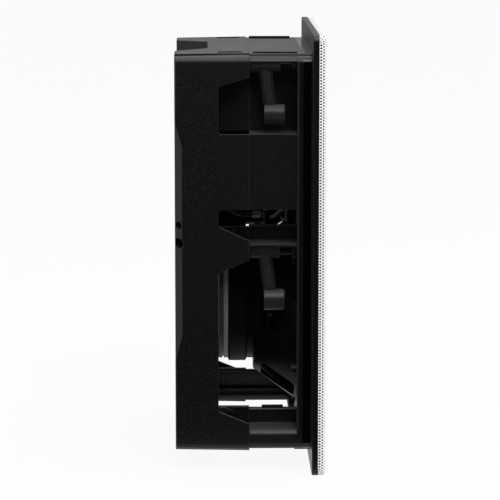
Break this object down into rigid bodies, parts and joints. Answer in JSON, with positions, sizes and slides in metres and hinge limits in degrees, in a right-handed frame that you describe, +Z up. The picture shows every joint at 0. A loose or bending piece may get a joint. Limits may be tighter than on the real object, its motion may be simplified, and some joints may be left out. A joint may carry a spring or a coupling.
{
  "type": "in-wall speaker",
  "caption": "Rectangular in-wall speaker: perforated white grille on a flanged frame, open black cage with side windows, and swing-out clamps that grip the wall panel.",
  "frame": {"origin": "centre of the wall plane, which is the back face of the flange", "axes": "+Z up, +Y into the wall along the cage, so the grille faces -Y; +X to the right seen from the front"},
  "size_m": [0.217, 0.1037, 0.306],
  "materials": {
    "moulding": "fine-textured satin black",
    "grille_paint": "satin white powder coat",
    "clamp_plastic": "satin black",
    "plated_steel": "zinc plated",
    "black_steel": "black, satin",
    "ferrite": "dark, dull",
    "paper": "coated paper pulp",
    "rubber": "matt",
    "spider_cloth": "resin-dipped cloth",
    "coil": "enamelled copper on a former",
    "silk": "coated cloth",
    "board": "glass-fibre board",
    "film": "wrapped film",
    "cement": "cement",
    "tag_board": "resin board with tinned tags",
    "terminal": "smooth black",
    "red_plastic": "smooth red",
    "black_plastic": "smooth black",
    "lead_red": "sheathed wire",
    "lead_black": "sheathed wire",
    "connector": "sleeved push-on connector"
  },
  "bodies": {
    "cabinet": {"front_frame": "moulding", "rear_cage": "moulding", "grille": "grille_paint", "grille_magnets": "plated_steel", "case_screws": "plated_steel", "woofer_basket": "black_steel", "woofer_tag_strip": "tag_board", "lead_connectors": "connector", "woofer_lead_positive": "lead_red", "tweeter_lead_positive": "lead_red", "terminal_lead_positive": "lead_red", "woofer_lead_negative": "lead_black", "tweeter_lead_negative": "lead_black", "terminal_lead_negative": "lead_black", "woofer_surround": "rubber", "woofer_spider": "spider_cloth", "woofer_front_plate": "black_steel", "woofer_magnet": "ferrite", "woofer_back_plate": "plated_steel", "woofer_screws": "black_steel", "tweeter_faceplate": "moulding", "tweeter_dome": "silk", "tweeter_voice_coil": "coil", "tweeter_front_plate": "plated_steel", "tweeter_magnet": "ferrite", "tweeter_back_plate": "plated_steel", "tweeter_chamber": "moulding", "tweeter_screws": "black_steel", "crossover_board": "board", "board_screws": "plated_steel", "woofer_inductor": "coil", "tweeter_inductor": "coil", "woofer_capacitor": "film", "tweeter_capacitor": "film", "tweeter_resistor": "cement", "terminal_block": "terminal"},
    "upper_right_screw": {"clamp_screw_upper_right": "black_steel"},
    "upper_right_clamp": {"clamp_upper_right": "clamp_plastic"},
    "upper_left_screw": {"clamp_screw_upper_left": "black_steel"},
    "upper_left_clamp": {"clamp_upper_left": "clamp_plastic"},
    "lower_right_screw": {"clamp_screw_lower_right": "black_steel"},
    "lower_right_clamp": {"clamp_lower_right": "clamp_plastic"},
    "lower_left_screw": {"clamp_screw_lower_left": "black_steel"},
    "lower_left_clamp": {"clamp_lower_left": "clamp_plastic"},
    "cone_assembly": {"woofer_cone": "paper", "woofer_dust_cap": "paper", "woofer_voice_coil": "coil"},
    "red_button": {"terminal_button_red": "red_plastic"},
    "black_button": {"terminal_button_black": "black_plastic"}
  },
  "joints": [
    {"name": "upper_right_swing", "type": "hinge", "parent": "cabinet", "child": "upper_right_screw", "pos_m": [0.083, 0.032, 0.1301], "axis": [0, -1, 0], "range_deg": [0, 90]},
    {"name": "upper_right_draw", "type": "slide", "parent": "upper_right_screw", "child": "upper_right_clamp", "axis": [0, -1, 0], "range_m": [0, 0.007]},
    {"name": "upper_left_swing", "type": "hinge", "parent": "cabinet", "child": "upper_left_screw", "pos_m": [-0.083, 0.032, 0.1301], "axis": [0, 1, 0], "range_deg": [0, 90]},
    {"name": "upper_left_draw", "type": "slide", "parent": "upper_left_screw", "child": "upper_left_clamp", "axis": [0, -1, 0], "range_m": [0, 0.007]},
    {"name": "lower_right_swing", "type": "hinge", "parent": "cabinet", "child": "lower_right_screw", "pos_m": [0.083, 0.032, 0.001], "axis": [0, -1, 0], "range_deg": [0, 90]},
    {"name": "lower_right_draw", "type": "slide", "parent": "lower_right_screw", "child": "lower_right_clamp", "axis": [0, -1, 0], "range_m": [0, 0.007]},
    {"name": "lower_left_swing", "type": "hinge", "parent": "cabinet", "child": "lower_left_screw", "pos_m": [-0.083, 0.032, 0.001], "axis": [0, 1, 0], "range_deg": [0, 90]},
    {"name": "lower_left_draw", "type": "slide", "parent": "lower_left_screw", "child": "lower_left_clamp", "axis": [0, -1, 0], "range_m": [0, 0.007]},
    {"name": "cone_stroke", "type": "slide", "parent": "cabinet", "child": "cone_assembly", "axis": [0, 1, 0], "range_m": [-0.004, 0.004], "stiffness_N_per_m": 1500, "deforming": ["woofer_surround", "woofer_spider"]},
    {"name": "red_button_press", "type": "slide", "parent": "cabinet", "child": "red_button", "axis": [0, -1, 0], "range_m": [0, 0.002], "stiffness_N_per_m": 500},
    {"name": "black_button_press", "type": "slide", "parent": "cabinet", "child": "black_button", "axis": [0, -1, 0], "range_m": [0, 0.002], "stiffness_N_per_m": 500}
  ]
}
